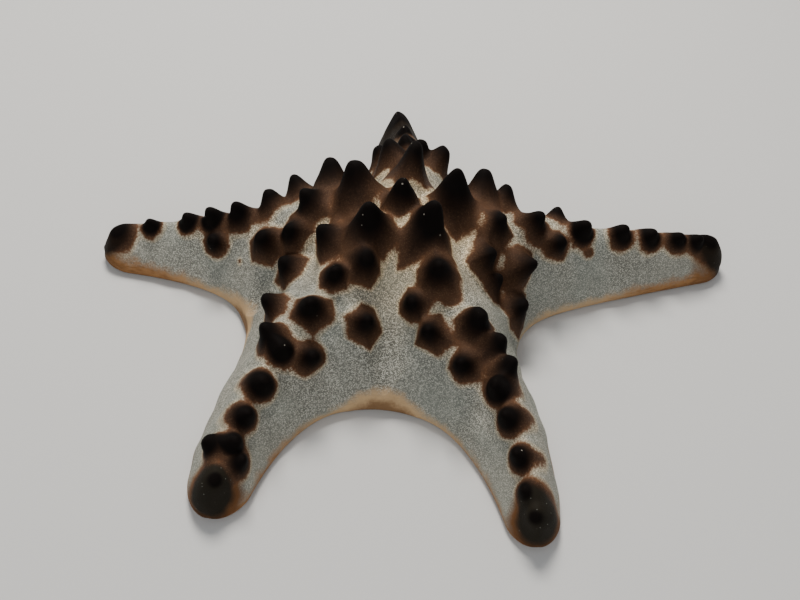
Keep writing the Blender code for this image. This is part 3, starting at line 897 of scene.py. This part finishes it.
def underside(nodes, colour, bright):
    """A colour, and in its place below the pale plates and the dark grooves."""
    below = nodes.mix(nodes.ramp(bright, *PLATE_RAMP), UNDER_DEEP, UNDER_PALE)
    below = nodes.mix(nodes.ramp(nodes.attribute("deep"), *GROOVE_RAMP), below, UNDER_DEEP)
    return nodes.mix(nodes.ramp(nodes.attribute("steep"), *UNDER_BORDER), colour, below)


def brown_halos(nodes, colour, bright, halo, fade):
    """A colour with the halos over it: darkest by the horn, speckled, with an orange edge."""
    brown = nodes.mix(nodes.ramp(fade, *HALO_RAMP), HALO_INNER, HALO_OUTER)
    brown = nodes.mix(nodes.ramp(halo, *HALO_EDGE_RAMP), brown, HALO_EDGE)
    grain = nodes.math("MULTIPLY", nodes.ramp(bright, *GRAIN_BY_BRIGHT),
                       nodes.ramp(fade, *GRAIN_BY_FADE))
    brown = nodes.mix(grain, brown, HALO_GRAIN)
    return nodes.mix(nodes.ramp(halo, *HALO_BORDER), colour, brown)


def end_caps(nodes, place, colour, cap, olive):
    """A colour with the arms' dark ends over it. Those that are olive get pale dots of painted
    highlight.
    """
    end = nodes.mix(olive, CAP_BROWN, CAP_OLIVE)
    # painted highlight: pale glints on the olive caps
    glint = nodes.math("MULTIPLY", highlight_specks(nodes, place, *CAP_HIGHLIGHT_DOTS), olive)
    end = nodes.mix(glint, end, CAP_HIGHLIGHT)
    return nodes.mix(nodes.ramp(cap, *CAP_BORDER), colour, end)


def black_horns(nodes, place, colour):
    """A colour with the horns' black over it, and a few pale dots of painted highlight."""
    black = nodes.ramp(nodes.attribute("fade"), *BLACK_BORDER)
    # painted highlights: a few pale dots on the black
    dots = nodes.math("MULTIPLY", highlight_specks(nodes, place, *HORN_HIGHLIGHT_DOTS), black)
    return nodes.mix(dots, nodes.mix(black, colour, HORN_BLACK), HORN_HIGHLIGHT)


def skin_material():
    """Granular skin, dark horns in brown halos, an orange rim and dark caps on the arms' ends."""
    nodes = Nodes("skin")
    place = nodes.add("ShaderNodeTexCoord").outputs["Object"]
    bright = grains(nodes, place)
    blotch = nodes.math("SUBTRACT", nodes.noise(place, *BLOTCH_NOISE), NOISE_MIDDLE)
    speck = nodes.math("SUBTRACT", nodes.noise(place, *SPECK_NOISE), NOISE_MIDDLE)
    cap = nodes.moved(nodes.attribute("cap"), (blotch, CAP_BLOTCH))
    halo = nodes.moved(nodes.attribute("halo"), (speck, HALO_SPECK), (blotch, HALO_BLOTCH))
    fade = nodes.moved(nodes.attribute("fade"), (speck, FADE_SPECK))
    olive = nodes.attribute("olive")

    colour = granular_skin(nodes, place, bright)
    colour = orange_rim(nodes, place, colour, blotch, speck)
    colour = underside(nodes, colour, bright)
    ring = nodes.math("MULTIPLY", nodes.ramp(cap, *CAP_RING), nodes.ramp(olive, *RING_BY_OLIVE))
    colour = nodes.mix(ring, colour, RIM_BROWN)
    colour = brown_halos(nodes, colour, bright, halo, fade)
    colour = end_caps(nodes, place, colour, cap, olive)
    colour = black_horns(nodes, place, colour)

    shader = nodes.shader.inputs
    nodes.feed(shader["Base Color"], colour)
    nodes.feed(shader["Roughness"], nodes.ramp(fade, *ROUGH_RAMP))
    nodes.feed(shader["Specular IOR Level"], SPECULAR)
    height = nodes.math("MULTIPLY", bright, nodes.ramp(fade, *BUMP_BY_FADE))
    sizes = {"Height": height, "Distance": BUMP_DEPTH, "Strength": BUMP_STRENGTH}
    nodes.feed(shader["Normal"], nodes.add("ShaderNodeBump", sizes).outputs["Normal"])
    return nodes.material


# ---- floor, light and camera --------------------------------------------------------------------
FLOOR_HALF = 3.0
FLOOR_GREY = (0.62, 0.61, 0.59)
FLOOR_ROUGHNESS = 0.8
# Each lamp: its place, size, power and colour. All point at the origin.
LAMPS = {
    "key": ((-0.10, 0.50, 0.92), 0.35, 13.8, (1.0, 0.97, 0.92)),
    "fill": ((-0.1, -0.95, 0.7), 0.9, 4.8, (0.94, 0.97, 1.0)),
}
SKY = (0.93, 0.96, 1.0)
SKY_STRENGTH = 0.30
CAMERA_ELEVATION, CAMERA_ROLL = 45.6, 3.4  # degrees
CAMERA_DISTANCE = 0.476
CAMERA_AIM = (0.0014, 0.0015, 0.0)  # from the disc's middle
LENS, SENSOR = 50.0, 36.0  # millimetres


def make_floor():
    """A plain pale floor."""
    nodes = Nodes("floor")
    nodes.feed(nodes.shader.inputs["Base Color"], FLOOR_GREY)
    nodes.feed(nodes.shader.inputs["Roughness"], FLOOR_ROUGHNESS)
    mesh = bpy.data.meshes.new("floor")
    signs = ((-1, -1), (1, -1), (1, 1), (-1, 1))
    corners = [(FLOOR_HALF * across, FLOOR_HALF * along, 0) for across, along in signs]
    mesh.from_pydata(corners, [], [(0, 1, 2, 3)])
    mesh.materials.append(nodes.material)
    floor = bpy.data.objects.new("floor", mesh)
    bpy.context.scene.collection.objects.link(floor)


def add_lamp(name, place, size, power, colour):
    """A square lamp that points at the origin."""
    lamp = bpy.data.lights.new(name, "AREA")
    lamp.size, lamp.energy, lamp.color = size, power, colour
    light = bpy.data.objects.new(name, lamp)
    light.location = place
    light.rotation_euler = (-Vector(place)).to_track_quat("-Z", "Y").to_euler()
    bpy.context.scene.collection.objects.link(light)


def make_light():
    """The lamps and an even sky."""
    for name, lamp in LAMPS.items():
        add_lamp(name, *lamp)
    world = bpy.data.worlds.new("studio")
    world.use_nodes = True
    background = world.node_tree.nodes["Background"]
    background.inputs["Color"].default_value = (*SKY, 1.0)
    background.inputs["Strength"].default_value = SKY_STRENGTH
    bpy.context.scene.world = world


def make_camera():
    """The camera at the photo's viewing angle, with the photo's small roll."""
    elevation, roll = radians(CAMERA_ELEVATION), radians(CAMERA_ROLL)
    target = Vector(DISC_CENTRE) + Vector(CAMERA_AIM)
    back = Vector((0.0, -cos(elevation), sin(elevation)))
    right = Vector((1.0, 0.0, 0.0))
    up = back.cross(right)
    across = right * cos(roll) + up * sin(roll)
    upward = up * cos(roll) - right * sin(roll)
    lens = bpy.data.cameras.new("camera")
    lens.lens, lens.sensor_width = LENS, SENSOR
    camera = bpy.data.objects.new("camera", lens)
    turn = Matrix((across, upward, back)).transposed().to_4x4()
    camera.matrix_world = Matrix.Translation(target + back * CAMERA_DISTANCE) @ turn
    bpy.context.scene.collection.objects.link(camera)
    bpy.context.scene.camera = camera


skin = make_skin()
skin.data.materials.append(skin_material())
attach(skin, "root")
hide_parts("disc", *ARM_NAMES)
print(len(skin.data.polygons), "faces")
make_floor()
make_light()
make_camera()
